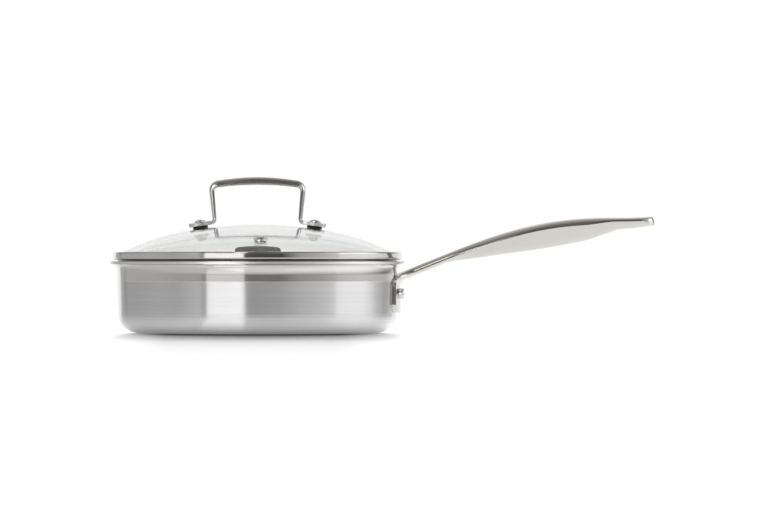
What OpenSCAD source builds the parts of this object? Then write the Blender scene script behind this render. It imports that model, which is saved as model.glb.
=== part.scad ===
// Saute pan with a glass lid. Millimetres, +Z up, origin at the middle of the flat base.
// The long handle points along +X, and the lid's steam vent faces -Y.

/* [Pan body] */
// Outside radius of the wall where it leaves the rounded base corner
wall_r = 121.6; // [90:0.1:150]
// Lean of the wall outward from upright, in degrees
wall_lean = 1.4; // [0:0.1:6]
// Height of the rim over the table
pan_h = 62.5; // [52:0.5:110]
// Outside radius of the rounded corner between base and wall
base_corner_r = 17.5; // [8:0.5:22]
// Radius of the gentle curve that leads the wall outward under the bend, on its outside
lead_r = 28; // [15:1:60]
// Turn of that gentle curve, in degrees
lead_turn = 12; // [2:0.5:14]
// Radius of the outward bend under the rim, on its outside
flare_r = 4.4; // [3:0.1:8]
// Flat part of the pouring rim beyond the bend
rim_flat = 1; // [0.5:0.1:4]
// Thickness of the outer steel layer
skin_t = 0.5; // [0.3:0.05:0.8]
// Thickness of the aluminium layer
core_t = 1.5; // [1:0.1:3]
// Thickness of the inner steel layer
liner_t = 0.5; // [0.3:0.05:0.8]

/* [Long handle] */
// Reach of the handle's end from the pan's axis
handle_reach = 347.4; // [300:1:400]
// Height of the handle's crown where its line meets the wall
handle_root_z = 51.8; // [48:0.2:54]
// Climb of the neck over level, in degrees
neck_climb = 21.8; // [15:0.5:28]
// Length of the neck, measured level from the wall to the grip
neck_len = 44; // [30:1:60]
// Width of the neck
neck_w = 14; // [10:0.5:18]
// Height of the neck's crown over its side edges
neck_crown = 4.6; // [2.5:0.1:6]
// Depth of the neck's keel under its side edges
neck_keel = 2.9; // [2:0.1:5]
// Width of the grip at its widest
grip_w = 27; // [20:0.5:34]
// Height of the grip's crown over its side edges
grip_crown = 5.7; // [4:0.1:9]
// Depth of the grip's keel under its side edges
grip_keel = 15.6; // [8:0.1:20]
// Length of the flat end past the keel
end_len = 32; // [28:1:45]
// Width of the flat end
end_w = 23; // [18:0.5:30]
// Height of the end's crown over its side edges
end_crown = 3.2; // [2.5:0.1:6]
// Depth of the end's underside below its side edges, where the keel stops
end_keel = 7.5; // [4:0.1:9]
// Depth of the end's underside below its side edges, at the tip
end_tip_keel = 4.2; // [3.1:0.1:6]
// Height of the crown at the handle's end over the table
end_z = 101.8; // [92:0.2:115]
// Rise of the crown along the end, which starts level
end_rise = 1; // [0:0.1:3]
// Radius of the rounded nose in plan
nose_r = 11.2; // [8:0.1:11.4]
// Fall of the side edges round the nose
nose_drop = 3; // [0:0.1:3]
// Squareness of the nose in side view, from 2 for a round to high numbers for a square
nose_square = 14; // [2:1:20]
// Height of the narrow flat along the side edges
edge_flat = 0.4; // [0.3:0.1:1.2]
// Shape of the grip's keel across its width, from 1 for a wedge to 2 for a round
grip_keel_shape = 1.5; // [1:0.1:2]
// Shape of the neck's keel, up to 5 for a box
neck_keel_shape = 2; // [1:0.1:5]
// Shape of the end's keel
end_keel_shape = 2.5; // [1:0.1:5]
// Width of the hanging slot
hang_w = 8; // [6:0.5:10]
// Length of the hanging slot
hang_len = 18; // [14:0.5:20]
// Metal between the hanging slot and the handle's end
hang_margin = 17.5; // [10:0.5:20]

/* [Handle plate and rivets] */
// Width of the curved plate
plate_w = 62; // [50:1:76]
// Height of the plate's lower edge over the table
plate_low_z = 17.8; // [17.2:0.2:22]
// Height of the plate's upper edge over the table
plate_top_z = 47.2; // [44:0.2:50]
// Thickness of the plate
plate_t = 2.7; // [2:0.1:4]
// Radius of the plate's corners
plate_corner_r = 7; // [3:0.5:10]
// Length of the sweep from neck width to plate width, measured level
web_len = 17; // [12:0.5:22]
// Radius of the fillet between plate and neck underside
root_fillet_r = 4; // [2:0.5:6]
// Distance of the rivets from the plate's side edges
rivet_margin = 15.5; // [10:0.5:20]
// Height of the rivets over the table
rivet_z = 34.2; // [30:0.2:38]
// Diameter of the rivet shanks
rivet_d = 5.5; // [4:0.1:7]
// Diameter of the outer rivet heads
rivet_head_d = 9.4; // [8:0.1:12]
// Height of the outer rivet heads
rivet_head_h = 4.4; // [2.4:0.1:5]
// Radius of the rounded edge of the outer rivet heads
rivet_edge_r = 1.7; // [0.8:0.1:2.4]
// Diameter of the flat rivet heads inside the pan
rivet_inner_d = 12; // [9:0.5:14]
// Height of the flat rivet heads inside the pan
rivet_inner_h = 1.8; // [1.2:0.1:3]

/* [Lid glass and band] */
// Height of the lid over the pan's rim, from rim to the band's underside
band_gap = 1.1; // [0.8:0.1:2]
// Outside radius of the band past the pan's wall radius
band_over = 4.9; // [3.6:0.1:6]
// Radius of the band's rolled lower edge
band_roll_r = 2.2; // [1.8:0.1:3.5]
// Radius of the band's upper edge
band_edge_r = 1.6; // [1:0.1:2.4]
// Distance of the glass's edge inside the band's outside
glass_inset = 3.7; // [3.6:0.1:5]
// Width of the band's top lip over the glass
band_lip_w = 8; // [6:0.1:10]
// Thickness of the band's steel sheet
band_t = 0.7; // [0.5:0.05:1]
// Depth of the skirt under the pan's rim
skirt_depth = 8; // [7:0.5:9]
// Lean of the skirt outward from upright, in degrees
skirt_lean = 15; // [13:0.5:20]
// Rise of the dome from the band's lip to the middle
dome_rise = 24.4; // [15:0.1:32]
// Share of the dome's fall that comes late, near the band
dome_fullness = 0.255; // [0.1:0.005:0.4]
// Thickness of the glass
glass_t = 4; // [3:0.1:4.2]

/* [Lid handle] */
// Distance between the two fixings
fixing_pitch = 99.4; // [92:0.2:112]
// Distance between the legs at the top bends, middle to middle
leg_span = 79.6; // [70:0.2:82]
// Lean of the legs outward going up, in degrees
leg_lean = 5.4; // [2:0.1:8]
// Height of the bar's crown over the top of the glass
bar_top = 41.8; // [34:0.2:52]
// Radius of the bar's gentle arch
bar_arch_r = 230; // [150:5:500]
// Radius of the bends between bar and legs, at mid thickness
bend_r = 6; // [5:0.1:9]
// Radius of the bends between legs and feet, at mid thickness
heel_r = 3; // [2.5:0.1:4]
// Width of the bar across its middle
bar_w = 13; // [9:0.5:16]
// Thickness of the bar at its middle
bar_t = 7.2; // [4.5:0.1:8]
// Width of the legs at their feet
leg_w = 9.5; // [7:0.5:12]
// Thickness of the legs at their feet
leg_t = 3.9; // [2.5:0.1:4.5]
// Width of the feet
foot_w = 15; // [13.5:0.5:18]
// Thickness of the feet
foot_t = 3.4; // [2.2:0.1:4]
// Length of the feet past the fixings
foot_past = 9.8; // [8:0.2:13]

/* [Lid fixings] */
// Diameter of the black pads
pad_d = 13.2; // [11:0.2:14]
// Height of the black pads between foot and glass
pad_h = 2; // [1.2:0.1:4]
// Diameter of the pads' sleeves through the glass
sleeve_d = 8; // [7:0.2:9]
// Diameter of the bolts
bolt_d = 5; // [4:0.1:5.6]
// Diameter of the domed bolt heads
bolt_head_d = 10; // [8:0.2:12]
// Height of the domed bolt heads
bolt_head_h = 2.4; // [1.6:0.1:4]
// Diameter of the inner seal washers
washer_d = 13; // [11:0.2:14]
// Thickness of the inner seal washers
washer_t = 1; // [0.6:0.1:2]
// Diameter of the domed cap nuts
nut_d = 10.3; // [9:0.1:12]
// Height of the domed cap nuts
nut_h = 4.7; // [4:0.1:6]

/* [Steam vent] */
// Distance of the vent from the glass's edge
vent_margin = 29.8; // [22:0.2:42]
// Turn of the vent from the lid's front line, in degrees
vent_turn = 2.9; // [-5:0.1:5]
// Diameter of the vent's flange
vent_d = 12.4; // [10:0.1:14]
// Height of the vent's domed crown over its flange
vent_crown_h = 1.3; // [0.8:0.1:2]
// Outside diameter of the vent's tube
vent_tube_d = 7; // [6:0.1:8]
// Thickness of the vent's steel
vent_t = 0.5; // [0.3:0.05:0.7]
// Diameter of the steam holes
steam_hole_d = 1.5; // [1:0.1:1.8]
// Number of steam holes round the crown
steam_holes = 4; // [3:1:5]
// Diameter of the vent's seal ring
vent_seal_d = 11.1; // [9.6:0.1:13.4]
// Thickness of the vent's seal ring
vent_seal_t = 0.8; // [0.5:0.1:1.2]

/* [Clearances] */
// Gap between pieces that are seated on each other
seat_gap = 0.05; // [0.02:0.01:0.1]
// Gap round a shank, sleeve or tube in its hole
hole_gap = 0.1; // [0.05:0.01:0.2]
// Gap between the lid's skirt and the pan's mouth where it seats
lid_gap = 0.3; // [0.2:0.05:0.5]

/* [Hidden] */

$fn = 96;
steel = [0.78, 0.78, 0.77];
satin = [0.68, 0.69, 0.70];
aluminium = [0.83, 0.84, 0.86];
silicone = [0.12, 0.12, 0.13];

function mix(a, b, t) = a + (b - a) * t;
function ease(t) = let (c = max(0, min(1, t))) c * c * (3 - 2 * c);
// Points of an arc about [x, y], from angle a to angle b
function arc(x, y, r, a, b, steps) =
    [for (i = [0 : steps]) let (t = mix(a, b, i / steps)) [x + r * cos(t), y + r * sin(t)]];
function reversed(list) = [for (i = [len(list) - 1 : -1 : 0]) list[i]];

// Pan wall: every layer's surface is the outside surface moved inward by a depth
pan_t = skin_t + core_t + liner_t;
corner_x = wall_r - base_corner_r * cos(wall_lean);
corner_low = base_corner_r * (1 - sin(wall_lean));
function wall_radius(z) = wall_r + (z - corner_low) * tan(wall_lean);
// The straight wall ends at lead_z. There the leading curve starts, about [lead_x, lead_mid_z],
// and the bend takes over from it, about [flare_x, flare_z].
flare_lean = wall_lean + lead_turn;
flare_z = pan_h - pan_t - flare_r;
lead_mid_z = flare_z - (lead_r - flare_r) * sin(flare_lean);
lead_z = lead_mid_z + lead_r * sin(wall_lean);
lead_x = wall_radius(lead_z) + lead_r * cos(wall_lean);
flare_x = lead_x - (lead_r - flare_r) * cos(flare_lean);
rim_r = flare_x + rim_flat;
function pan_surface(depth) = concat(
    [[0, depth]],
    arc(corner_x, base_corner_r, base_corner_r - depth, -90, -wall_lean, 10),
    arc(lead_x, lead_mid_z, lead_r + depth, 180 - wall_lean, 180 - flare_lean, 5),
    arc(flare_x, flare_z, flare_r + depth, 180 - flare_lean, 90, 8),
    [[rim_r, flare_z + flare_r + depth]]
);

// Stack of the lid's levels, from the rim up: the band's flange carries the glass's edge,
// and the band's lip lies on the glass. Here r is measured from the lid's middle.
band_r = wall_r + band_over;
roll_x = band_r - band_roll_r;
lip_inner_r = band_r - band_lip_w;
seat_turn = 180 - skirt_lean;
seat_x = flare_x + (flare_r + pan_t + lid_gap) * cos(seat_turn);
seat_z = flare_z + (flare_r + pan_t + lid_gap) * sin(seat_turn);
band_low = pan_h + band_gap;
flange_top = band_low + band_t;
skirt_low = pan_h - skirt_depth;
function skirt_r(z) = seat_x + (z - seat_z) * tan(skirt_lean);
glass_r = band_r - glass_inset;
vent_at_r = glass_r - vent_margin;
function dome_drop(r) = let (q = r / lip_inner_r)
    dome_rise * ((1 - dome_fullness) * q * q + dome_fullness * pow(q, 4));
function dome_slope(r) = let (q = r / lip_inner_r)
    atan(dome_rise / lip_inner_r * (2 * (1 - dome_fullness) * q + 4 * dome_fullness * pow(q, 3)));
dome_top = flange_top + seat_gap + glass_t * cos(dome_slope(glass_r)) + dome_drop(glass_r);
function dome_z(r) = dome_top - dome_drop(r);
function dome_under(r) = let (a = dome_slope(r)) [r - glass_t * sin(a), dome_z(r) - glass_t * cos(a)];
band_top = dome_z(lip_inner_r) + seat_gap + band_t;

// A loft through rings that have the same number of points, closed by its first and last ring
module loft(rings) {
    n = len(rings[0]);
    last = len(rings) - 1;
    polyhedron(
        points = [for (ring = rings) each ring],
        faces = concat(
            [[for (j = [0 : n - 1]) j]],
            [for (i = [0 : last - 1], j = [0 : n - 1]) let (k = (j + 1) % n)
                let (low = i * n, high = low + n)
                each [[low + j, high + j, high + k], [low + j, high + k, low + k]]],
            [[for (j = [n - 1 : -1 : 0]) last * n + j]]
        )
    );
}

// Outline of a crowned bar: half an ellipse over two side edges, and a keel under them.
// Half of the width is w, and the side edges are upright for a height of edge.
function bar_outline(w, crown, keel, edge, full_w, keel_power, steps, keel_steps) = concat(
    [for (i = [0 : steps]) let (y = w * cos(180 * i / steps))
        [y, edge / 2 + crown * sqrt(1 - min(1, pow(y / full_w, 2)))]],
    [for (i = [0 : keel_steps]) let (y = w * (2 * i / keel_steps - 1))
        [y, -edge / 2 - keel * (1 - pow(abs(y) / full_w, keel_power))]]
);

module pan_layer(outside, inside) {
    difference() {
        rotate_extrude()
            polygon(concat(pan_surface(outside), reversed(pan_surface(inside))));
        rivet_holes();
    }
}

// Puts a child on the plate's outside, with its +Z pointing away from the pan
module at_rivet(side) {
    turn = asin(rivet_pitch / 2 / plate_outer_r);
    rotate([0, 0, side * turn])
        translate([plate_outer_r + seat_gap, 0, rivet_z])
            rotate([0, 90, 0])
                children();
}

module rivet_holes() {
    for (side = [-1, 1]) at_rivet(side)
        cylinder(d = rivet_d + 2 * hole_gap, h = rivet_pitch, center = true);
}

module outer_skin() {
    color(satin)
        pan_layer(0, skin_t);
}

module aluminium_core() {
    color(aluminium)
        pan_layer(skin_t, skin_t + core_t);
}

module inner_liner() {
    color(satin)
        pan_layer(skin_t + core_t, pan_t);
}

// Long handle: heights of crown, side edges and keel at a distance x from the pan's axis
plate_outer_r = wall_radius(plate_top_z) + plate_t;
rivet_pitch = plate_w - 2 * rivet_margin;
neck_start = wall_radius(handle_root_z);
grip_start = neck_start + neck_len;
end_start = handle_reach - end_len;
grip_len = end_start - grip_start;
grip_root_z = handle_root_z + neck_len * tan(neck_climb);
end_root_z = end_z - end_rise;
function grip_share(x) = max(0, min(1, (x - grip_start) / grip_len));
function end_share(x) = max(0, (x - end_start) / end_len);
// Length over which the neck's section turns into the grip's, and its part inside the grip
neck_turn_len = 10;
neck_turn_part = 0.3;
function neck_turned(x) = ease((x - grip_start) / neck_turn_len + 1 - neck_turn_part);
function bump(t, lean) = sin(180 * pow(t, lean));
// Power that moves the keel's deepest point past the grip's middle
keel_lean = 1.15;
// Height that the crown's curve gains over a plain blend
crown_fullness = 1.5;
// A curve between two heights that starts with slope s0 and ends level
function blend_z(t, z0, s0, z1) =
    let (a = 1 - t)
    z0 * a * a * (1 + 2 * t) + s0 * t * a * a + z1 * t * t * (3 - 2 * t)
    + crown_fullness * pow(4 * t * a, 2);
function crown_z(x) =
    x < grip_start ? handle_root_z + (x - neck_start) * tan(neck_climb)
    : blend_z(grip_share(x), grip_root_z, tan(neck_climb) * grip_len, end_root_z)
        + end_rise * pow(end_share(x), 2);
// Shares of the grip over which its crown grows to full height, and falls to the end's
crown_grow = 0.2;
crown_fall = 0.2;
function crown_h(x) = let (t = grip_share(x))
    mix(neck_crown, grip_crown, ease(t / crown_grow))
    - (grip_crown - end_crown) * ease((t - 1) / crown_fall + 1);
function keel_h(x) = let (t = grip_share(x))
    mix(neck_keel, end_keel, t) + (grip_keel - mix(neck_keel, end_keel, 0.5)) * bump(t, keel_lean)
    - (end_keel - end_tip_keel) * end_share(x)
    + fillet_drop(x);
// Share of the grip over which its keel's section turns into the end's
end_turn_share = 0.15;
function keel_power(x) = mix(mix(neck_keel_shape, grip_keel_shape, neck_turned(x)), end_keel_shape,
    ease((grip_share(x) - 1) / end_turn_share + 1));
function fillet_drop(x) = let (d = max(0, min(1, (plate_outer_r + root_fillet_r - x) / root_fillet_r)))
    root_fillet_r * (1 - sqrt(1 - d * d));
// Share of the grip over which it swells from the neck, and over which it narrows to the end
swell_share = 0.45;
function grip_half(x) = let (t = grip_share(x))
    mix(neck_w, grip_w, ease(t / swell_share)) / 2
    - (grip_w - end_w) / 2 * ease(1 - (1 - t) / swell_share);
web_root = plate_w / 2 - plate_corner_r;
web_start = sqrt(pow(plate_outer_r, 2) - pow(web_root, 2)) - seat_gap;
web_end = neck_start + web_len;
// Length of the loft inside the wall, where the pan's own shape cuts it off
handle_inside = 5;
function web_half(x) = let (v = max(0, min(1, (x - web_start) / (web_end - web_start))))
    (web_root - neck_w / 2) * (1 - sqrt(1 - pow(1 - v, 2)));
nose_x = handle_reach - nose_r;
function nose_half(x) = let (d = x - nose_x)
    d <= 0 ? plate_w : sqrt(max(0, nose_r * nose_r - d * d));
// Power of the side edges' fall towards the tip
drop_power = 3;
function edge_drop(x) = nose_drop * pow(max(0, x - nose_x) / nose_r, drop_power);
// Share of the crown's height that is gone at a point of the nose
function nose_fall(x, y) = x <= nose_x ? 0
    : pow((x - nose_x) / sqrt(nose_r * nose_r - y * y), nose_square);
// Half the width at which the nose's round is cut off
nose_flat = 0.8;
handle_stations = concat(
    [neck_start - handle_inside],
    [for (i = [0 : 11]) mix(web_start, web_end, 1 - cos(90 * i / 11))],
    [for (i = [1 : 4]) mix(web_end, grip_start, i / 4)],
    [for (i = [1 : 30]) mix(grip_start, end_start, i / 30)],
    [for (i = [1 : 4]) mix(end_start, nose_x, i / 4)],
    [for (i = [1 : 9]) nose_x + sqrt(nose_r * nose_r - pow(nose_flat, 2)) * sin(10 * i)]
);
function handle_ring(x) =
    let (full = grip_half(x) + web_half(x), w = min(full, nose_half(x)),
         crown = crown_h(x) + edge_drop(x), keel = keel_h(x) - edge_drop(x),
         edge_z = crown_z(x) - crown - edge_flat / 2)
    [for (p = bar_outline(w, crown, keel, edge_flat, full, keel_power(x), 16, 10))
        [x, p[0], edge_z + p[1] - max(0, p[1] - edge_flat / 2) * nose_fall(x, p[0])]];

module plate_blank() {
    mid_z = (plate_low_z + plate_top_z) / 2;
    half_h = (plate_top_z - plate_low_z) / 2;
    r = plate_corner_r;
    intersection() {
        cylinder(r = plate_outer_r, h = pan_h);
        translate([plate_outer_r / 2, 0, mid_z])
            rotate([90, 0, 90])
                linear_extrude(plate_outer_r)
                    polygon(concat(
                        arc(plate_w / 2 - r, half_h - r, r, 90, 0, 6),
                        arc(plate_w / 2 - r, r - half_h, r, 0, -90, 6),
                        arc(r - plate_w / 2, r - half_h, r, -90, -180, 6),
                        arc(r - plate_w / 2, half_h - r, r, 180, 90, 6)
                    ));
    }
}

module long_handle() {
    color(steel)
        difference() {
            union() {
                loft([for (x = handle_stations) handle_ring(x)]);
                plate_blank();
            }
            rotate_extrude()
                polygon(concat(pan_surface(-seat_gap), [[0, pan_h]]));
            rivet_holes();
            hanging_slot();
        }
}

module hanging_slot() {
    run = hang_len - hang_w;
    far = handle_reach - hang_margin - hang_w / 2;
    cut_h = 4 * (end_crown + end_keel);
    for (x = [far - run, far])
        translate([x, 0, end_z])
            cylinder(d = hang_w, h = cut_h, center = true);
    translate([far - run / 2, 0, end_z])
        cube([run, hang_w, cut_h], center = true);
}

// One rivet: a button head outside the plate, a shank, and a low head inside the pan.
// The button head has a shallow dome over its rounded edge.
rivet_dome_h = 0.3;
rivet_edge_sweep = 75;
module handle_rivet(side) {
    inner_face = wall_radius(rivet_z) - pan_t;
    inner_seat = sqrt(pow(inner_face, 2) - pow(rivet_inner_d / 2, 2));
    grip = plate_outer_r + seat_gap - inner_seat + 2 * seat_gap;
    edge_z = rivet_head_h - rivet_edge_r - rivet_dome_h;
    color(steel)
        at_rivet(side)
            rotate_extrude()
                polygon(concat(
                    [[0, -grip - rivet_inner_h]],
                    arc(rivet_inner_d / 2 - rivet_inner_h, -grip, rivet_inner_h, -90, 0, 6),
                    [[rivet_d / 2, -grip], [rivet_d / 2, 0], [rivet_head_d / 2, 0]],
                    arc(rivet_head_d / 2 - rivet_edge_r, edge_z, rivet_edge_r, 0, rivet_edge_sweep, 6),
                    [[0, rivet_head_h]]
                ));
}

module front_handle_rivet() {
    handle_rivet(-1);
}

module back_handle_rivet() {
    handle_rivet(1);
}

// Puts a child on the glass at a distance r from the middle, with its +Z square to the glass
module on_glass(r, turn) {
    rotate([0, 0, turn])
        translate([r, 0, dome_z(r)])
            rotate([0, dome_slope(r), 0])
                children();
}

module lid_glass() {
    steps = 26;
    radii = [for (i = [0 : steps]) glass_r * i / steps];
    under_low = dome_under(glass_r);
    color([0.86, 0.9, 0.89, 0.45])
        difference() {
            rotate_extrude()
                polygon(concat(
                    [for (r = radii) [r, dome_z(r)]],
                    [[glass_r, under_low[1]]],
                    reversed([for (r = radii) dome_under(r)])
                ));
            for (turn = [0, 180]) on_glass(fixing_pitch / 2, turn)
                cylinder(d = sleeve_d + 2 * hole_gap, h = 4 * glass_t, center = true);
            on_glass(vent_at_r, vent_turn - 90)
                cylinder(d = vent_tube_d + 2 * hole_gap, h = 4 * glass_t, center = true);
        }
}

// Band: a lip over the glass, an upright face, a rolled lower edge, a flange under the glass's
// edge, and a skirt that seats in the pan's mouth
module lid_band() {
    face_top = band_top - band_edge_r;
    face_low = band_low + band_roll_r;
    color(steel)
        rotate_extrude()
            polygon(concat(
                [[lip_inner_r, band_top]],
                arc(band_r - band_edge_r, face_top, band_edge_r, 90, 0, 5),
                arc(roll_x, face_low, band_roll_r, 0, -90, 8),
                [[skirt_r(band_low), band_low], [skirt_r(skirt_low), skirt_low],
                 [skirt_r(skirt_low) - band_t, skirt_low], [skirt_r(flange_top) - band_t, flange_top]],
                arc(roll_x, face_low, band_roll_r - band_t, -90, 0, 8),
                arc(band_r - band_edge_r, face_top, band_edge_r - band_t, 0, 90, 4),
                [[lip_inner_r, band_top - band_t]]
            ));
}

// Lid handle: a strip bent from foot to foot. Its path runs from one foot's end to the bar's
// middle, as [x, z, heading, part], where part counts 0 foot, 1 heel, 2 leg, 3 bend, 4 bar.
foot_tilt = dome_slope(fixing_pitch / 2);
fix_x = fixing_pitch / 2;
foot_mid = pad_h + 2 * seat_gap + foot_t / 2;
foot_x = fix_x + foot_mid * sin(foot_tilt);
foot_z = dome_z(fix_x) + foot_mid * cos(foot_tilt);
bar_mid_z = dome_top + bar_top - bar_t / 2;
leg_down = -90 - leg_lean;
leg_top_x = leg_span / 2;
bar_turn = asin((leg_top_x - bend_r * cos(leg_lean)) / (bar_arch_r - bend_r));
bend_x = (bar_arch_r - bend_r) * sin(bar_turn);
bend_z = bar_mid_z - bar_arch_r + (bar_arch_r - bend_r) * cos(bar_turn);
leg_top = [bend_x - bend_r * sin(leg_down), bend_z + bend_r * cos(leg_down)];
// The heel's centre lies heel_r outside the leg's line and heel_r above the foot's line
leg_dir = [cos(leg_down), sin(leg_down)];
foot_dir = [cos(-foot_tilt), sin(-foot_tilt)];
leg_off = leg_top + heel_r * [-leg_dir[1], leg_dir[0]];
foot_off = [foot_x, foot_z] + heel_r * [-foot_dir[1], foot_dir[0]];
function cross2(a, b) = a[0] * b[1] - a[1] * b[0];
leg_run = cross2(foot_off - leg_off, foot_dir) / cross2(leg_dir, foot_dir);
heel_c = leg_off + leg_run * leg_dir;
foot_end = [foot_x, foot_z] + foot_past * foot_dir;
foot_start = heel_c - heel_r * [-foot_dir[1], foot_dir[0]];
foot_run = norm(foot_end - foot_start);
foot_nose = foot_w / 2;
// Turn at which the foot's rounded end starts, so that its first ring has some width
foot_nose_turn = 8;
// Length of the full-width foot, as a multiple of half its width
foot_full = 1.6;
function foot_at(d) = [foot_end[0] - d * foot_dir[0], foot_end[1] - d * foot_dir[1], 180 - foot_tilt];
half_path = concat(
    [for (i = [0 : 6]) let (d = foot_nose * (1 - cos(mix(foot_nose_turn, 90, i / 6))))
        concat(foot_at(d), [0, d / foot_run])],
    [for (i = [1 : 3]) let (d = mix(foot_nose, foot_run, i / 4)) concat(foot_at(d), [0, d / foot_run])],
    [for (i = [0 : 5]) let (h = mix(180 - foot_tilt, 90 - leg_lean, i / 5))
        [heel_c[0] + heel_r * cos(h + 90), heel_c[1] + heel_r * sin(h + 90), h, 1, i / 5]],
    [for (i = [1 : 3]) let (p = mix(leg_top + leg_run * leg_dir, leg_top, i / 4))
        [p[0], p[1], 90 - leg_lean, 2, i / 4]],
    [for (i = [0 : 7]) let (h = mix(90 - leg_lean, 180 - bar_turn, i / 7))
        [bend_x + bend_r * cos(h - 90), bend_z + bend_r * sin(h - 90), h, 3, i / 7]],
    [for (i = [1 : 6]) let (a = bar_turn * (1 - i / 6))
        [bar_arch_r * sin(a), bar_mid_z - bar_arch_r * (1 - cos(a)), 180 - a, 4, i / 6]]
);
// Shares of the change from leg to bar that are done at the bend's lower and upper end
bend_w_share = 0.45;
bend_t_low = 0.3;
bend_t_high = 0.75;
// Rounded share of the thickness in the feet and in the bar, and the crown's part of it
foot_round = 0.25;
bar_round = 0.8;
crown_part = 0.68;
function strip_w(part, t) =
    part == 0 ? (let (d = t * foot_run)
        min(mix(foot_w, leg_w, ease((d - foot_nose * foot_full) / (foot_run - foot_nose * foot_full))),
            2 * sqrt(max(0, pow(foot_nose, 2) - pow(max(0, foot_nose - d), 2)))))
    : part < 3 ? leg_w
    : mix(leg_w, bar_w, part == 3 ? bend_w_share * ease(t) : mix(bend_w_share, 1, ease(t)));
function strip_t(part, t) =
    part == 0 ? foot_t
    : part == 1 ? mix(foot_t, leg_t, t)
    : mix(leg_t, bar_t, part == 2 ? bend_t_low * t
        : part == 3 ? mix(bend_t_low, bend_t_high, t) : mix(bend_t_high, 1, ease(t)));
function strip_round(part, t) = mix(foot_round, bar_round, part == 0 ? 0 : part == 1 ? t : 1);
function strip_ring(p) =
    let (part = p[3], t = p[4], w = strip_w(part, t) / 2, thick = strip_t(part, t),
         round_share = strip_round(part, t), edge = thick * (1 - round_share),
         full = part == 0 ? max(w, foot_nose) : w,
         crown = (thick - edge) * crown_part, keel = (thick - edge) * (1 - crown_part),
         low = (crown - keel) / 2, out = [cos(p[2] - 90), sin(p[2] - 90)])
    [for (q = bar_outline(w, crown, keel, edge, full, 2, 12, 8))
        [p[0] + (q[1] - low) * out[0], q[0], p[1] + (q[1] - low) * out[1]]];
whole_path = concat(
    half_path,
    [for (i = [len(half_path) - 2 : -1 : 0]) let (p = half_path[i]) [-p[0], p[1], 360 - p[2], p[3], p[4]]]
);

module lid_handle() {
    color(steel)
        difference() {
            loft([for (p = whole_path) strip_ring(p)]);
            for (turn = [0, 180]) on_glass(fix_x, turn)
                cylinder(d = bolt_d + 2 * hole_gap, h = 3 * (pad_h + foot_t));
        }
}

// Chamfer on the black pads
pad_chamfer = 0.3;
// Black pad: a washer under the foot with a sleeve that lines the hole in the glass
module pad(turn) {
    color(silicone)
        on_glass(fix_x, turn)
            rotate_extrude()
                polygon([
                    [bolt_d / 2 + hole_gap, seat_gap + pad_h],
                    [pad_d / 2 - pad_chamfer, seat_gap + pad_h],
                    [pad_d / 2, seat_gap + pad_h - pad_chamfer],
                    [pad_d / 2, seat_gap],
                    [sleeve_d / 2, seat_gap],
                    [sleeve_d / 2, -glass_t],
                    [bolt_d / 2 + hole_gap, -glass_t],
                ]);
}

module left_pad() {
    pad(180);
}

module right_pad() {
    pad(0);
}

// Levels down one fixing, measured square to the glass, and the share of the nut that is bored
head_seat = pad_h + foot_t + 3 * seat_gap;
washer_top = -glass_t - 2 * seat_gap;
nut_top = washer_top - washer_t - seat_gap;
bolt_in_nut = 0.6;
bolt_end = nut_top - nut_h * bolt_in_nut;

module bolt(turn) {
    edge = 0.7;
    dome_r = (pow(bolt_head_d / 2, 2) + pow(bolt_head_h - edge, 2)) / (2 * (bolt_head_h - edge));
    sweep = asin(bolt_head_d / 2 / dome_r);
    color(steel)
        on_glass(fix_x, turn)
            rotate_extrude()
                polygon(concat(
                    [[0, bolt_end], [bolt_d / 2, bolt_end], [bolt_d / 2, head_seat],
                     [bolt_head_d / 2, head_seat]],
                    arc(0, head_seat + bolt_head_h - dome_r, dome_r, 90 - sweep, 90, 8)
                ));
}

module left_bolt() {
    bolt(180);
}

module right_bolt() {
    bolt(0);
}

module washer(turn) {
    color(silicone)
        on_glass(fix_x, turn)
            translate([0, 0, washer_top - washer_t / 2])
                difference() {
                    cylinder(d = washer_d, h = washer_t, center = true);
                    cylinder(d = bolt_d + 2 * hole_gap, h = 2 * washer_t, center = true);
                }
}

module left_washer() {
    washer(180);
}

module right_washer() {
    washer(0);
}

module cap_nut(turn) {
    flange_t = 1;
    flange_step = 0.4;
    bore = bolt_d / 2 + seat_gap;
    dome_r = nut_d / 2 - flange_step;
    color(steel)
        on_glass(fix_x, turn)
            rotate_extrude()
                polygon(concat(
                    [[bore, nut_top], [nut_d / 2, nut_top], [nut_d / 2, nut_top - flange_t]],
                    [for (i = [0 : 8]) let (a = 90 * i / 8)
                        [dome_r * cos(a), nut_top - flange_t - (nut_h - flange_t) * sin(a)]],
                    [[0, bolt_end - seat_gap], [bore, bolt_end - seat_gap]]
                ));
}

module left_cap_nut() {
    cap_nut(180);
}

module right_cap_nut() {
    cap_nut(0);
}

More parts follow.
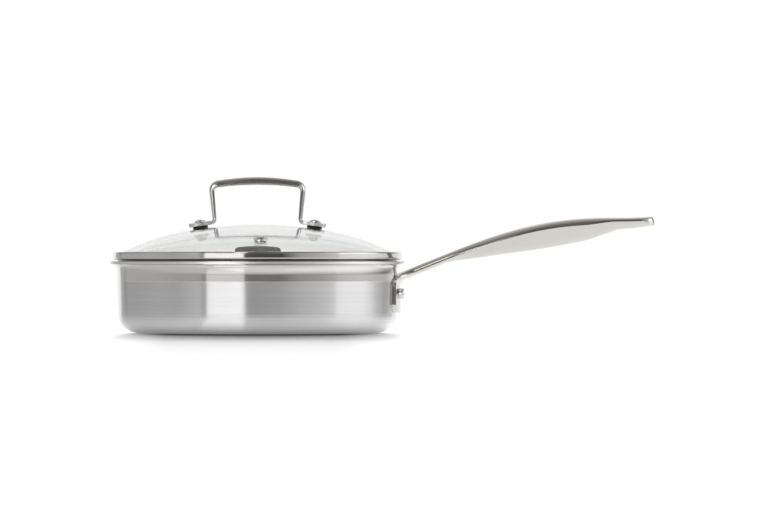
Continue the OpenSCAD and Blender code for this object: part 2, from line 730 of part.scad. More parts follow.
// Steam vent: a pressed eyelet with a perforated crown, curled over inside the lid
module vent_eyelet() {
    flange_low = vent_seal_t + 2 * seat_gap;
    flange_high = flange_low + vent_t;
    flange_bevel = 0.2;
    tube_r = vent_tube_d / 2;
    inner_r = tube_r - vent_t;
    crown_r = tube_r + 0.4;
    curl_low = -glass_t - 2 * seat_gap - vent_t;
    curl_r = tube_r + 1.2;
    color(steel)
        on_glass(vent_at_r, vent_turn - 90)
            difference() {
                rotate_extrude()
                    polygon(concat(
                        [for (i = [0 : 5]) let (a = 18 * i)
                            [crown_r * sin(a), flange_high + vent_crown_h * cos(a)]],
                        [[vent_d / 2 - flange_bevel, flange_high], [vent_d / 2, flange_low],
                         [tube_r, flange_low], [tube_r, curl_low + vent_t],
                         [curl_r, curl_low + vent_t], [curl_r, curl_low],
                         [inner_r, curl_low], [inner_r, flange_high - vent_t]],
                        [for (i = [4 : -1 : 0]) let (a = 18 * i)
                            [inner_r * sin(a), flange_high - vent_t + vent_crown_h * cos(a)]]
                    ));
                for (i = [0 : steam_holes - 1]) rotate([0, 0, 360 * i / steam_holes])
                    translate([vent_tube_d / 3, 0, 0])
                        cylinder(d = steam_hole_d, h = 2 * (flange_high + vent_crown_h));
            }
}

module vent_seal() {
    color(silicone)
        on_glass(vent_at_r, vent_turn - 90)
            translate([0, 0, seat_gap + vent_seal_t / 2])
                difference() {
                    cylinder(d = vent_seal_d, h = vent_seal_t, center = true);
                    cylinder(d = vent_tube_d + 2 * hole_gap, h = 2 * vent_seal_t, center = true);
                }
}

outer_skin();
aluminium_core();
inner_liner();
long_handle();
front_handle_rivet();
back_handle_rivet();
lid_glass();
lid_band();
lid_handle();
left_pad();
right_pad();
left_bolt();
right_bolt();
left_washer();
right_washer();
left_cap_nut();
right_cap_nut();
vent_eyelet();
vent_seal();
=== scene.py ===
"""Looks for a saute pan with a glass lid.

Brushed and polished steel, clear glass and black silicone, on a white table in a staged studio.
"""
import math

import bmesh
import bpy
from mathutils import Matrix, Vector


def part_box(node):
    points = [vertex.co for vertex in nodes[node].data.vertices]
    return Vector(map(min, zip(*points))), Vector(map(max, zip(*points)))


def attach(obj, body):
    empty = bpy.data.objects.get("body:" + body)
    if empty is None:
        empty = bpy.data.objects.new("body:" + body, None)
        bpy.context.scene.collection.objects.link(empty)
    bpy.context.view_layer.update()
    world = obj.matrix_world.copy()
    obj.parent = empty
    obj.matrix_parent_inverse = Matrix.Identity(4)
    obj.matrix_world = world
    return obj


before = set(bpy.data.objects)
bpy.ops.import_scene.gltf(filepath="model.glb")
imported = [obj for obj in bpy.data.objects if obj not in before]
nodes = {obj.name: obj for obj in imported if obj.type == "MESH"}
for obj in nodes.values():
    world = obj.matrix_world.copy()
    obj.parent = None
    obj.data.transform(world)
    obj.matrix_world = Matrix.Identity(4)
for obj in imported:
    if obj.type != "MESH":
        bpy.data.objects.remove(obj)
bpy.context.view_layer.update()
scene = bpy.context.scene

# Camera: level, a little above the rim, far away, as in the photograph of 765 x 510 pixels
CAMERA_AT = (0.1094, -5.0, 0.068)
LENS_MM = 268.9
SENSOR_MM = 36
CLIP_END = 50


def srgb(value):
    """The linear value of an sRGB tone from 0 to 255."""
    c = value / 255
    return c / 12.92 if c <= 0.04045 else ((c + 0.055) / 1.055) ** 2.4


def grey(value, tint=(1, 1, 1)):
    """The linear colour of an sRGB grey, with a share for each channel."""
    return tuple(srgb(value) * t for t in tint) + (1,)


class Graph:
    """Short calls that build nodes in a tree."""

    def __init__(self, tree):
        self.tree = tree

    def node(self, kind, **settings):
        """A node with its properties, or plain values on its sockets, set by name."""
        made = self.tree.nodes.new("ShaderNode" + kind)
        for key, value in settings.items():
            if hasattr(made, key):
                setattr(made, key, value)
            else:
                made.inputs[key.replace("_", " ")].default_value = value
        return made

    def put(self, value, socket):
        """Sets a number on a socket, or links another socket to it."""
        if isinstance(value, (int, float)):
            socket.default_value = value
        else:
            self.tree.links.new(value, socket)

    def math(self, operation, *values, clamp=False):
        """The outcome of a calculation with numbers or sockets."""
        made = self.node("Math", operation=operation, use_clamp=clamp)
        for socket, value in zip(made.inputs, values):
            self.put(value, socket)
        return made.outputs[0]

    def spread(self, value, low, high, to_low, to_high):
        """A value from low to high, spread from to_low to to_high and level outside them."""
        made = self.node("MapRange", clamp=True)
        self.put(value, made.inputs["Value"])
        limits = {"From Min": low, "From Max": high, "To Min": to_low, "To Max": to_high}
        for key, limit in limits.items():
            made.inputs[key].default_value = limit
        return made.outputs[0]

    def ramp(self, factor, stops):
        """A colour ramp with stops of (place, grey or colour)."""
        made = self.node("ValToRGB")
        elements = made.color_ramp.elements
        while len(elements) < len(stops):
            elements.new(0.5)
        for element, (place, value) in zip(elements, stops):
            element.position = place
            element.color = value if isinstance(value, tuple) else (value, value, value, 1)
        self.put(factor, made.inputs["Fac"])
        return made.outputs["Color"]

    def point(self, kind="Object"):
        """The point that is shaded, as a rule in the object's own frame, in metres."""
        return self.node("TexCoord").outputs[kind]

    def place(self, kind="Object"):
        """x, y, z of the point."""
        split = self.node("SeparateXYZ")
        self.put(self.point(kind), split.inputs[0])
        return split.outputs

    def turned(self):
        """Radius, angle and height about the Z axis."""
        x, y, z = self.place()
        squares = self.math("ADD", self.math("MULTIPLY", x, x), self.math("MULTIPLY", y, y))
        return self.math("SQRT", squares), self.math("ARCTAN2", y, x), z

    def vector(self, *values):
        """A vector of three numbers or sockets."""
        made = self.node("CombineXYZ")
        for socket, value in zip(made.inputs, values):
            self.put(value, socket)
        return made.outputs[0]

    def noise(self, vector, scale, detail=2.0, rough=0.5):
        """A soft noise from 0 to 1."""
        made = self.node("TexNoise", Scale=scale, Detail=detail, Roughness=rough)
        self.put(vector, made.inputs["Vector"])
        return made.outputs["Fac"]

    def bump(self, height, strength, distance):
        """The normal that a height gives to a flat surface."""
        made = self.node("Bump", Strength=strength, Distance=distance)
        self.put(height, made.inputs["Height"])
        return made.outputs[0]

    def mixed(self, share, first, second):
        """A mix of two shader nodes. The share of the second is a number or a socket."""
        made = self.node("MixShader")
        for socket, value in zip(made.inputs, (share, first.outputs[0], second.outputs[0])):
            self.put(value, socket)
        return made


class Look(Graph):
    """A new material and its nodes."""

    def __init__(self, name):
        self.material = bpy.data.materials.new(name)
        self.material.use_nodes = True
        super().__init__(self.material.node_tree)
        self.tree.nodes.clear()

    def finish(self, shader):
        """Puts a shader node on the output, and gives back the material."""
        self.put(shader.outputs[0], self.node("OutputMaterial").inputs["Surface"])
        return self.material


# Materials

STEEL = (0.70, 0.69, 0.68, 1)
CAST_STEEL = (0.672, 0.659, 0.628, 1)
SATIN = (0.66, 0.658, 0.655, 1)
LINE_HIGHLIGHT_COLOUR = (0.95, 0.95, 0.95, 1)
ALUMINIUM = (0.80, 0.81, 0.82, 1)
GLASS = (0.988, 1.0, 0.996, 1)
GLASS_SHADOW = (0.96, 0.98, 0.97, 1)

# Colours that follow a noise. Nearly all of a noise lies between these two values.
NOISE_LOW = 0.3
NOISE_HIGH = 0.7
STREAKS = [(NOISE_LOW, (0.64, 0.64, 0.645, 1)), (NOISE_HIGH, (0.69, 0.69, 0.695, 1))]
SILICONE = [(NOISE_LOW, (0.012, 0.012, 0.013, 1)), (NOISE_HIGH, (0.024, 0.024, 0.026, 1))]
INK_TINT = (0.97, 1, 1.04)
INK = [(0.35, grey(92, INK_TINT)), (0.65, grey(122, INK_TINT))]

# Turned lines: the radius that makes lengths of angles, and the turn of the gloss along them
WALL_R = 0.12
GLOSS_TURN = 0.25

# Finish line on the pan's wall: its height, how soft it is, and a painted highlight along it, a
# thin band of pale, rough steel
POLISH_FROM_Z = 0.0450
POLISH_SOFT = 0.0004
LINE_HIGHLIGHT_HALF_W = 0.0005
LINE_HIGHLIGHT_SHARE = 0.35

# Long marks on the cast handle, by their number in a metre along x, y and z
MARKS_IN_METRE = (60, 2500, 2500)

# Bent feet of the strap: duller by this much at their height, and bright from the legs upwards
FEET_Z = 0.0955
LEGS_Z = 0.102
FEET_DULLER = 0.3


def metal(g, colour, roughness, normal=None, anisotropic=0.0):
    """A metal surface. Roughness is a number or a socket."""
    shader = g.node("BsdfPrincipled", Base_Color=colour, Metallic=1.0, Anisotropic=anisotropic)
    g.put(roughness, shader.inputs["Roughness"])
    if normal is not None:
        g.put(normal, shader.inputs["Normal"])
    if anisotropic:
        shader.inputs["Anisotropic Rotation"].default_value = GLOSS_TURN
        tangent = g.node("Tangent", direction_type="RADIAL", axis="Z")
        g.put(tangent.outputs[0], shader.inputs["Tangent"])
    return shader


def coat(g, colour, roughness, normal, **settings):
    """A surface that isn't metal, with its colour, roughness and normal from sockets."""
    shader = g.node("BsdfPrincipled", **settings)
    for key, value in {"Base Color": colour, "Roughness": roughness, "Normal": normal}.items():
        g.put(value, shader.inputs[key])
    return shader


def turned_lines(g, pitch, length):
    """Fine lines round the Z axis: a noise drawn out along the turn."""
    radius, angle, z = g.turned()
    along = g.math("MULTIPLY", angle, WALL_R / length)
    across = g.vector(along, g.math("DIVIDE", radius, pitch), g.math("DIVIDE", z, pitch))
    return g.noise(across, scale=1.0, detail=3.0, rough=0.6)


def smudges(g, size, low, high):
    """A slow change of roughness between two values, as handling leaves on steel."""
    cloud = g.noise(g.point(), 1 / size, detail=4.0, rough=0.55)
    return g.spread(cloud, NOISE_LOW, NOISE_HIGH, low, high)


def rougher(g, base, lines, share):
    """Roughness with a share of a pattern of lines added."""
    return g.math("ADD", base, g.math("MULTIPLY", lines, share))


def polish_waves(g):
    """The normal of slow waves that polishing leaves."""
    waves = g.noise(g.point(), scale=220.0, detail=1.0)
    return g.bump(waves, strength=0.05, distance=0.00005)


def pan_steel():
    """Outside of the pan: brushed round its axis up to the finish line, polished above it, with a
    painted highlight along the line: a thin band of pale, rough steel."""
    g = Look("pan_steel")
    lines = turned_lines(g, pitch=0.00022, length=0.03)
    rough = rougher(g, smudges(g, size=0.06, low=0.21, high=0.24), lines, 0.05)
    brushed = g.bump(lines, strength=0.3, distance=0.00001)
    satin = metal(g, SATIN, rough, brushed, anisotropic=1.0)
    streaks = turned_lines(g, pitch=0.0011, length=0.25)
    g.put(g.ramp(streaks, STREAKS), satin.inputs["Base Color"])
    polished = metal(g, STEEL, smudges(g, size=0.05, low=0.09, high=0.12), anisotropic=0.6)
    # Painted highlight: a thin band of pale, rough steel along the finish line.
    line_highlight = metal(g, LINE_HIGHLIGHT_COLOUR, roughness=0.5)
    above = g.math("SUBTRACT", g.place()[2], POLISH_FROM_Z)
    edge = g.math("DIVIDE", above, POLISH_SOFT, clamp=True)
    off_line = g.math("DIVIDE", g.math("ABSOLUTE", above), LINE_HIGHLIGHT_HALF_W, clamp=True)
    on_line = g.math("MULTIPLY", g.math("SUBTRACT", 1.0, off_line), LINE_HIGHLIGHT_SHARE)
    return g.finish(g.mixed(on_line, g.mixed(edge, satin, polished), line_highlight))


def liner_steel():
    """Inside of the pan: a coarser turned finish, with the marks of wiping."""
    g = Look("liner_steel")
    lines = turned_lines(g, pitch=0.0003, length=0.05)
    rough = rougher(g, smudges(g, size=0.04, low=0.24, high=0.32), lines, 0.08)
    brushed = g.bump(lines, strength=0.4, distance=0.000012)
    return g.finish(metal(g, SATIN, rough, brushed, anisotropic=0.7))


def core_metal():
    """Aluminium layer, which shows only as a turned edge at the rim."""
    g = Look("core_metal")
    lines = turned_lines(g, pitch=0.00025, length=0.02)
    turned = g.bump(lines, strength=0.5, distance=0.00001)
    return g.finish(metal(g, ALUMINIUM, roughness=0.38, normal=turned))


def handle_steel():
    """Cast handle, polished after casting: faint long marks and soft unevenness."""
    g = Look("handle_steel")
    drawn = [g.math("MULTIPLY", at, count) for at, count in zip(g.place(), MARKS_IN_METRE)]
    marks = g.noise(g.vector(*drawn), scale=1.0)
    waves = g.noise(g.point(), scale=45.0, detail=1.0)
    height = g.math("ADD", g.math("MULTIPLY", marks, 0.04), waves)
    rough = rougher(g, smudges(g, size=0.03, low=0.12, high=0.16), marks, 0.02)
    uneven = g.bump(height, strength=0.05, distance=0.0002)
    return g.finish(metal(g, CAST_STEEL, rough, uneven))


def polished_steel(name="polished_steel", low=0.05, high=0.10):
    """Bright steel with slow waves from polishing and a change of gloss."""
    g = Look(name)
    return g.finish(metal(g, STEEL, smudges(g, size=0.02, low=low, high=high), polish_waves(g)))


def strap_steel():
    """The lid handle's steel: bright on the bar and the legs, duller on the bent feet."""
    g = Look("strap_steel")
    dull = g.spread(g.place()[2], FEET_Z, LEGS_Z, FEET_DULLER, 0.0)
    rough = g.math("ADD", smudges(g, size=0.02, low=0.07, high=0.12), dull)
    return g.finish(metal(g, STEEL, rough, polish_waves(g)))


def lid_glass():
    """Clear toughened glass, faintly green. Shadow rays pass it, so that the pan's inside stays
    lit."""
    g = Look("lid_glass")
    glass = g.node("BsdfPrincipled", Base_Color=GLASS, Roughness=0.0, IOR=1.45,
                   Transmission_Weight=1.0)
    clear = g.node("BsdfTransparent", Color=GLASS_SHADOW)
    return g.finish(g.mixed(g.node("LightPath").outputs["Is Shadow Ray"], glass, clear))


def black_silicone():
    """Matt black silicone with a fine grain."""
    g = Look("black_silicone")
    grain = g.noise(g.point(), scale=2500.0, detail=3.0)
    rough = smudges(g, size=0.004, low=0.5, high=0.62)
    grained = g.bump(grain, strength=0.3, distance=0.00003)
    return g.finish(coat(g, g.ramp(grain, SILICONE), rough, grained))


def print_ink():
    """Fired enamel print on the glass, plain dark grey."""
    g = Look("print_ink")
    grain = g.noise(g.point(), scale=1500.0)
    cloud = g.noise(g.point(), scale=90.0)
    tone = g.math("MULTIPLY_ADD", grain, 0.15, g.math("MULTIPLY", cloud, 0.85))
    rough = smudges(g, size=0.005, low=0.22, high=0.32)
    grained = g.bump(grain, strength=0.1, distance=0.00001)
    return g.finish(coat(g, g.ramp(tone, INK), rough, grained, IOR=1.5))


def dress(names, material, smooth_angle=30):
    """Gives CAD nodes a material, and smooth shading up to an angle in degrees. Their vertices
    stay as they are."""
    for name in names:
        mesh = nodes[name].data
        mesh.materials.clear()
        mesh.materials.append(material)
        mesh.shade_smooth()
        mesh.set_sharp_from_angle(angle=math.radians(smooth_angle))


def both_sides(*parts):
    """The names of parts that the lid has on its left and on its right."""
    return [side + part for side in ("left_", "right_") for part in parts]


steel = polished_steel()
dress(["outer_skin"], pan_steel())
dress(["aluminium_core"], core_metal())
dress(["inner_liner"], liner_steel())
dress(["long_handle"], handle_steel(), smooth_angle=26)
dress(["front_handle_rivet", "back_handle_rivet", "vent_eyelet"], steel)
dress(["lid_band"], polished_steel("band_steel", low=0.06, high=0.09))
dress(["lid_handle"], strap_steel(), smooth_angle=26)
dress(both_sides("bolt", "cap_nut"), steel)
dress(both_sides("pad", "washer") + ["vent_seal"], black_silicone())
dress(["lid_glass"], lid_glass())


# Dome of the glass, as the part's source has it: rise and share of late fall, to the lip's
# radius, and the thickness. A facet is of the dome if its normal is as near as this cosine.

DOME_RISE = 0.0244
DOME_LATE = 0.255
LIP_R = 0.1185
GLASS_T = 0.004
DOME_COSINE = 0.98


def dome_lean(r):
    """The angle by which the dome's upper face falls at a radius."""
    q = r / LIP_R
    return math.atan(DOME_RISE / LIP_R * (2 * (1 - DOME_LATE) * q + 4 * DOME_LATE * q ** 3))


def smooth_dome():
    """Gives the glass the dome's true normals, so that its turned facets don't show. The holes'
    walls and the outer edge keep their own."""
    mesh = nodes["lid_glass"].data
    normals = [Vector(corner.vector) for corner in mesh.corner_normals]
    for face in mesh.polygons:
        under = face.normal.z < 0
        for corner in face.loop_indices:
            spot = mesh.vertices[mesh.loops[corner].vertex_index].co
            r = math.hypot(spot.x, spot.y)
            lean = dome_lean(r + GLASS_T * math.sin(dome_lean(r)) if under else r)
            out = math.sin(lean) / max(r, 1e-9)
            true = Vector((out * spot.x, out * spot.y, math.cos(lean))) * (-1 if under else 1)
            if true.dot(face.normal) > DOME_COSINE:
                normals[corner] = true
    mesh.normals_split_custom_set(normals)


# Added meshes


def sheet(rows, tones=None):
    """Faces through rows of points, with a tone at each point where tones are given."""
    shape = bmesh.new()
    layer = shape.verts.layers.float.new("tone") if tones else None
    grid = [[shape.verts.new(spot) for spot in row] for row in rows]
    for row, levels in zip(grid, tones or []):
        for vert, level in zip(row, levels):
            vert[layer] = level
    for upper, lower in zip(grid, grid[1:]):
        for j in range(len(upper) - 1):
            shape.faces.new((upper[j], lower[j], lower[j + 1], upper[j + 1]))
    return shape


def mesh_object(name, shape, material):
    """A new object in the scene with a shape and a material."""
    mesh = bpy.data.meshes.new(name)
    shape.normal_update()
    shape.to_mesh(mesh)
    shape.free()
    mesh.materials.append(material)
    made = bpy.data.objects.new(name, mesh)
    scene.collection.objects.link(made)
    return made


def add_piece(name, shape, material, body):
    """Adds a piece that the part's source doesn't have. It rides on a body."""
    piece = mesh_object(name, shape, material)
    piece.data.shade_smooth()
    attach(piece, body)


def add_staged(name, shape, material):
    """Adds an object that only belongs to the studio."""
    made = mesh_object(name, shape, material)
    return made


# Printed patch on the glass, at the front by the band: its lower side follows the band, its upper
# side is crowned, and the upper corners are round. Rays find the glass from a little above its top.

PATCH_TURN = math.radians(1.4)
PATCH_HALF_W = 0.0196
PATCH_TOP_R = 0.1067
PATCH_CROWN = 0.0034
PATCH_LOW_R = 0.1192
PATCH_CORNER_R = 0.003
PATCH_LIFT = 0.00002
PATCH_ACROSS = 48
PATCH_DOWN = 16
RAYS_FROM_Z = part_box("lid_glass")[1].z + 0.01


def printed_patch():
    """A thin sheet of ink that follows the glass, by rays sent down onto it."""
    rows = []
    for i in range(PATCH_DOWN + 1):
        share = i / PATCH_DOWN
        row = []
        for j in range(PATCH_ACROSS + 1):
            x = PATCH_HALF_W * (2 * j / PATCH_ACROSS - 1)
            over = max(0.0, abs(x) - (PATCH_HALF_W - PATCH_CORNER_R)) / PATCH_CORNER_R
            top = PATCH_TOP_R + PATCH_CROWN * (x / PATCH_HALF_W) ** 2
            top += PATCH_CORNER_R * (1 - math.sqrt(1 - over * over))
            r = top + (PATCH_LOW_R - top) * share
            turn = PATCH_TURN + math.asin(x / r)
            spot = Vector((r * math.sin(turn), -r * math.cos(turn), RAYS_FROM_Z))
            _, found, normal, _ = nodes["lid_glass"].ray_cast(spot, Vector((0, 0, -1)))
            row.append(found + normal * PATCH_LIFT)
        rows.append(row)
    add_piece("glass_print", sheet(rows), print_ink(), "lid")


printed_patch()
smooth_dome()


# Table: level under the pan's base, and falling a little all round it. Its rings lie closer
# together near the pan.

FALL_FROM_R = 0.106
FALL = math.tan(math.radians(5.5))
TABLE_R = 0.45
CENTRE_R = 0.001
TURNS = 96
RINGS = 12
RINGS_POWER = 1.5

# Its matt look: white with a little grain, and an added glow. Near the pan a painted shade from
# ambient occlusion darkens it and lessens the glow. Beside the pan, over this range of |x|, the
# painted shade fades out and a painted pool of light is added.

WHITE = 0.975
GRAIN = 0.02
GRAIN_SCALE = 60.0
CONTACT_REACH = 0.05
CONTACT_SAMPLES = 8
ADDED = 0.12
LIGHT_POOL_X = (0.075, 0.128)
LIGHT_POOL_ADDED = 0.3

# Its look in mirror rays, painted light that the steel reflects: brightness at radii from the
# pan's axis, the scale by which it is divided to stay under 1 in the ramp, and the shares of that
# glow and of gloss

PAINTED_GLOW_BY_RADIUS = (
    (0.106, 0.6), (0.112, 0.8), (0.118, 1.3), (0.126, 1.5), (0.15, 1.3), (0.2, 1.1), (0.45, 1.05))
GLOW_SCALE = 2.0
GLOW_SHARE = 0.54
GLOSS_SHARE = 0.22
GLOSS_ROUGH = 0.15

# A painted patch of light on it, seen in mirror rays, that carries on the surround's bright strip:
# bearing to the left of the camera's side, half width at full and at no light, shares at radii, and
# gain

STRIP_BEARING = 0.26
STRIP_FULL = 0.15
STRIP_NONE = 0.19
STRIP_RING = [(0.112, 0.0), (0.136, 1.0), (0.147, 1.0), (0.162, 0.0)]
STRIP_GAIN = 1.7

# Painted shade on its left side, seen in mirror rays: share of black, reached over this range of x

LEFT_SHADE = 0.38
LEFT = (-0.14, -0.07)


def table_white(g):
    """The table's matt look, with painted shade near the pan and a painted pool of light beside it.
    """
    beside = g.spread(g.math("ABSOLUTE", g.place()[0]), *LIGHT_POOL_X, 0.0, 1.0)
    # Painted shade: ambient occlusion darkens the colour near the pan.
    near = g.node("AmbientOcclusion", samples=CONTACT_SAMPLES, Distance=CONTACT_REACH)
    unshaded_share = g.math("MAXIMUM", near.outputs["AO"], beside)
    tone = g.math("MULTIPLY_ADD", g.noise(g.point(), GRAIN_SCALE), GRAIN, WHITE)
    matt = g.node("BsdfDiffuse")
    g.put(g.math("MULTIPLY", tone, unshaded_share), matt.inputs["Color"])
    added = g.math("MULTIPLY", unshaded_share, ADDED)
    light = g.node("Emission")
    # Painted light: more glow beside the pan, which lightens its shadow there.
    g.put(g.math("MULTIPLY_ADD", beside, LIGHT_POOL_ADDED, added), light.inputs["Strength"])
    both = g.node("AddShader")
    g.put(matt.outputs[0], both.inputs[0])
    g.put(light.outputs[0], both.inputs[1])
    return both


def table_mirrored(g, white):
    """The table's look in mirror rays, which starts from the matt one and adds painted light and
    shade.
    """
    x, y = g.place()[:2]
    share = g.math("DIVIDE", g.turned()[0], TABLE_R)
    # Painted light for mirror rays: a glow by radius, and a patch along the bright strip.
    pool = g.ramp(share, [(r / TABLE_R, level / GLOW_SCALE) for r, level in PAINTED_GLOW_BY_RADIUS])
    ring = g.ramp(share, [(r / TABLE_R, level) for r, level in STRIP_RING])
    bearing = g.math("ARCTAN2", x, g.math("MULTIPLY", y, -1.0))
    off_strip = g.math("ABSOLUTE", g.math("ADD", bearing, STRIP_BEARING))
    in_strip = g.math("MULTIPLY", ring, g.spread(off_strip, STRIP_NONE, STRIP_FULL, 0.0, 1.0))
    strip = g.math("MULTIPLY_ADD", in_strip, STRIP_GAIN, GLOW_SCALE)
    glow = g.node("Emission")
    g.put(g.math("MULTIPLY", pool, strip), glow.inputs["Strength"])
    gloss = g.node("BsdfGlossy", Roughness=GLOSS_ROUGH)
    black = g.node("Emission", Strength=0.0)
    pale = g.mixed(GLOSS_SHARE, g.mixed(GLOW_SHARE, white, glow), gloss)
    # Painted shade for mirror rays: black mixed in towards the left side.
    return g.mixed(g.spread(x, *LEFT, LEFT_SHADE, 0.0), pale, black)


def table():
    """A white table that takes the pan's soft shadow, partly cast by the light and partly painted
    shade. In mirror rays it has painted light and shade: a glow by radius with a light patch, a
    darker left side and a little gloss."""
    g = Look("table")
    white = table_white(g)
    mirrored = table_mirrored(g, white)
    path = g.node("LightPath").outputs
    before_matt = g.math("SUBTRACT", 1.0, path["Diffuse Depth"], clamp=True)
    in_mirror = g.math("MULTIPLY", path["Is Glossy Ray"], before_matt)
    material = g.finish(g.mixed(in_mirror, white, mirrored))
    turns = [2 * math.pi * j / TURNS for j in range(TURNS + 1)]
    width = TABLE_R - FALL_FROM_R
    rings = [CENTRE_R, FALL_FROM_R]
    rings += [FALL_FROM_R + width * (i / RINGS) ** RINGS_POWER for i in range(1, RINGS + 1)]
    rows = [[(r * math.cos(t), r * math.sin(t), -FALL * max(0.0, r - FALL_FROM_R)) for t in turns]
            for r in rings]
    add_staged("table", sheet(rows), material)


# Brightness of the surround. Azimuth 0 is towards the camera and 90 to the right. Each row has an
# azimuth, and the brightness at each elevation of LEVELS. The lower steel sees the table instead.

LEVELS = (-9, -3, 1.5, 5.5, 12, 20, 40, 46, 53, 60, 82)
SURROUND = [
    (-180, 1.00, 1.00, 1.00, 1.00, 1.00, 0.95, 0.62, 0.45, 0.40, 0.40, 0.28),
    (-152, 1.00, 1.00, 1.00, 1.00, 0.90, 0.85, 0.45, 0.45, 0.45, 0.45, 0.28),
    (-149, 0.50, 0.48, 0.48, 0.45, 0.45, 0.45, 0.45, 0.45, 0.45, 0.45, 0.28),
    (-141, 0.50, 0.48, 0.48, 0.30, 0.30, 0.30, 0.40, 0.45, 0.45, 0.45, 0.28),
    (-139, 0.45, 0.40, 0.40, 0.12, 0.12, 0.20, 0.40, 0.45, 0.45, 0.45, 0.28),
    (-135, 0.45, 0.40, 0.40, 0.12, 0.12, 0.20, 0.40, 0.45, 0.45, 0.45, 0.28),
    (-133, 0.50, 0.50, 0.50, 0.30, 0.30, 0.30, 0.40, 0.45, 0.45, 0.45, 0.28),
    (-115, 0.52, 0.50, 0.50, 0.32, 0.32, 0.32, 0.40, 0.40, 0.40, 0.42, 0.26),
    (-88, 0.54, 0.50, 0.50, 0.50, 0.50, 0.45, 0.35, 0.32, 0.32, 0.34, 0.22),
    (-67, 0.60, 0.42, 0.46, 0.46, 0.46, 0.42, 0.24, 0.20, 0.20, 0.26, 0.20),
    (-49, 0.66, 0.38, 0.52, 0.80, 0.80, 0.80, 0.20, 0.18, 0.18, 0.20, 0.18),
    (-45, 0.66, 0.36, 0.52, 0.74, 0.74, 0.70, 0.15, 0.15, 0.15, 0.20, 0.18),
    (-43.5, 0.66, 0.26, 0.42, 0.15, 0.15, 0.20, 0.12, 0.12, 0.12, 0.20, 0.18),
    (-40.4, 0.66, 0.26, 0.42, 0.15, 0.15, 0.20, 0.12, 0.12, 0.12, 0.20, 0.18),
    (-40, 1.10, 0.55, 1.12, 3.20, 3.20, 0.25, 0.15, 0.14, 0.12, 0.18, 0.16),
    (-22.5, 1.10, 0.55, 1.12, 3.20, 3.20, 0.25, 0.15, 0.14, 0.12, 0.18, 0.16),
    (-21.5, 1.10, 0.55, 1.12, 3.20, 3.20, 0.30, 0.30, 1.90, 1.50, 0.18, 0.14),
    (-9.4, 1.10, 0.55, 1.12, 3.20, 3.20, 0.30, 0.30, 1.90, 1.50, 0.16, 0.14),
    (-8.9, 0.75, 0.22, 0.08, 0.14, 0.22, 0.15, 0.06, 0.08, 0.12, 0.14, 0.14),
    (20, 0.75, 0.22, 0.02, 0.38, 0.50, 0.15, 0.06, 0.08, 0.12, 0.14, 0.14),
    (35, 0.75, 0.28, 0.43, 0.54, 0.60, 0.40, 0.15, 0.12, 0.12, 0.16, 0.16),
    (53, 0.80, 0.34, 0.57, 0.72, 0.75, 0.60, 0.30, 0.20, 0.20, 0.18, 0.16),
    (67, 0.90, 0.40, 0.76, 0.86, 0.86, 0.80, 0.40, 0.30, 0.30, 0.20, 0.16),
    (69, 1.00, 0.45, 0.88, 1.72, 1.72, 1.70, 0.80, 0.50, 0.40, 0.20, 0.16),
    (92, 1.10, 0.48, 1.00, 1.84, 1.84, 1.80, 0.80, 0.50, 0.40, 0.20, 0.16),
    (107, 1.00, 0.38, 0.97, 1.70, 1.70, 1.65, 0.80, 0.50, 0.40, 0.25, 0.16),
    (113, 0.90, 0.28, 0.97, 0.90, 0.88, 0.85, 0.50, 0.40, 0.35, 0.25, 0.18),
    (130, 0.60, 0.12, 0.90, 0.14, 0.14, 0.18, 0.30, 0.30, 0.30, 0.25, 0.20),
    (146, 0.60, 0.50, 1.00, 0.45, 0.35, 0.30, 0.35, 0.35, 0.35, 0.30, 0.25),
    (152, 1.00, 1.00, 1.00, 1.00, 0.90, 0.85, 0.42, 0.40, 0.40, 0.38, 0.28),
    (180, 1.00, 1.00, 1.00, 1.00, 1.00, 0.95, 0.62, 0.45, 0.40, 0.40, 0.28),
]

# Its radius in metres, its lowest elevation and its step of azimuth in degrees, and its tint at
# heights given as shares of the radius

SURROUND_R = 2.6
SURROUND_LOW = -25
AZIMUTH_STEP = 0.5
SURROUND_TINT = [(0.55, (1.0, 1.0, 0.99, 1)), (0.75, (1.05, 0.97, 0.92, 1))]

# Share that is taken from the light which steel throws back onto the table
THROWN_LESS = 0.8


def between(places, values, place):
    """The value at a place, on straight lines between the given ones, and level outside them."""
    if place <= places[0]:
        return values[0]
    for a, b, low, high in zip(places, places[1:], values, values[1:]):
        if place <= b:
            return low + (high - low) * (place - a) / (b - a)
    return values[-1]


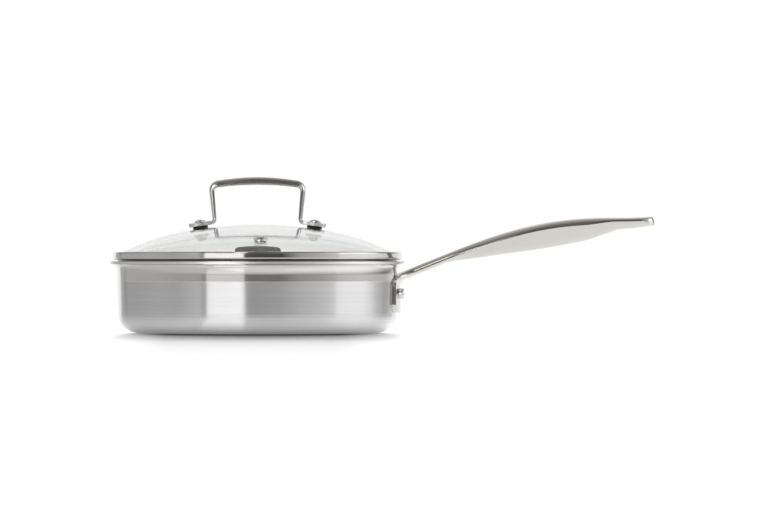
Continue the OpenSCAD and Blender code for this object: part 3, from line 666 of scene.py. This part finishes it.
def surround():
    """A dome of grey and white panels round the object, which only reflections see."""
    azimuths = [-180 + i * AZIMUTH_STEP for i in range(int(360 / AZIMUTH_STEP) + 1)]
    given, *at_levels = zip(*SURROUND)
    columns = [[between(given, values, a) for a in azimuths] for values in at_levels]
    rows, tones = [], []
    for elevation in range(SURROUND_LOW, 90 + 1):
        e = math.radians(elevation)
        rows.append([Vector((math.sin(a) * math.cos(e), -math.cos(a) * math.cos(e), math.sin(e)))
                     * SURROUND_R for a in map(math.radians, azimuths)])
        tones.append([between(LEVELS, levels, elevation) for levels in zip(*columns)])
    g = Look("surround")
    glow = g.node("Emission")
    height = g.math("DIVIDE", g.place()[2], SURROUND_R)
    g.put(g.ramp(height, SURROUND_TINT), glow.inputs["Color"])
    after_matt = g.math("MINIMUM", g.node("LightPath").outputs["Diffuse Depth"], 1.0)
    kept = g.math("SUBTRACT", 1.0, g.math("MULTIPLY", after_matt, THROWN_LESS))
    tone = g.node("Attribute", attribute_name="tone").outputs["Fac"]
    g.put(g.math("MULTIPLY", tone, kept), glow.inputs["Strength"])
    made = add_staged("surround", sheet(rows, tones), g.finish(glow))
    made.visible_camera = False
    made.visible_diffuse = False
    made.visible_transmission = False
    made.visible_shadow = False


# World light on matt surfaces: its strength from the camera's side and from behind, and where
# along Y it changes between them

WORLD_FRONT = 0.2
WORLD_BACK = 1.8
WORLD_TURN = (-0.2, 0.2)


def studio_light():
    """A white world. What it gives to matt surfaces comes more from behind the object than from
    the camera's side, so that the shadow falls forwards. Its mean is the same."""
    world = bpy.data.worlds.new("studio")
    world.use_nodes = True
    scene.world = world
    light = world.node_tree.nodes["Background"]
    light.inputs["Color"].default_value = (1, 1, 1, 1)
    g = Graph(world.node_tree)
    side = g.spread(g.place("Generated")[1], *WORLD_TURN, WORLD_FRONT, WORLD_BACK)
    after_matt = g.math("MINIMUM", g.node("LightPath").outputs["Diffuse Depth"], 1.0)
    strength = g.node("Mix", data_type="FLOAT")
    for index, value in ((0, after_matt), (2, 1.0), (3, side)):
        g.put(value, strength.inputs[index])
    g.put(strength.outputs[0], light.inputs["Strength"])


table()
surround()
studio_light()

camera = bpy.data.objects.new("camera", bpy.data.cameras.new("camera"))
scene.collection.objects.link(camera)
camera.location = CAMERA_AT
camera.rotation_euler = (math.radians(90), 0, 0)
camera.data.lens = LENS_MM
camera.data.sensor_width = SENSOR_MM
camera.data.clip_end = CLIP_END
scene.camera = camera
scene.view_settings.view_transform = "Standard"
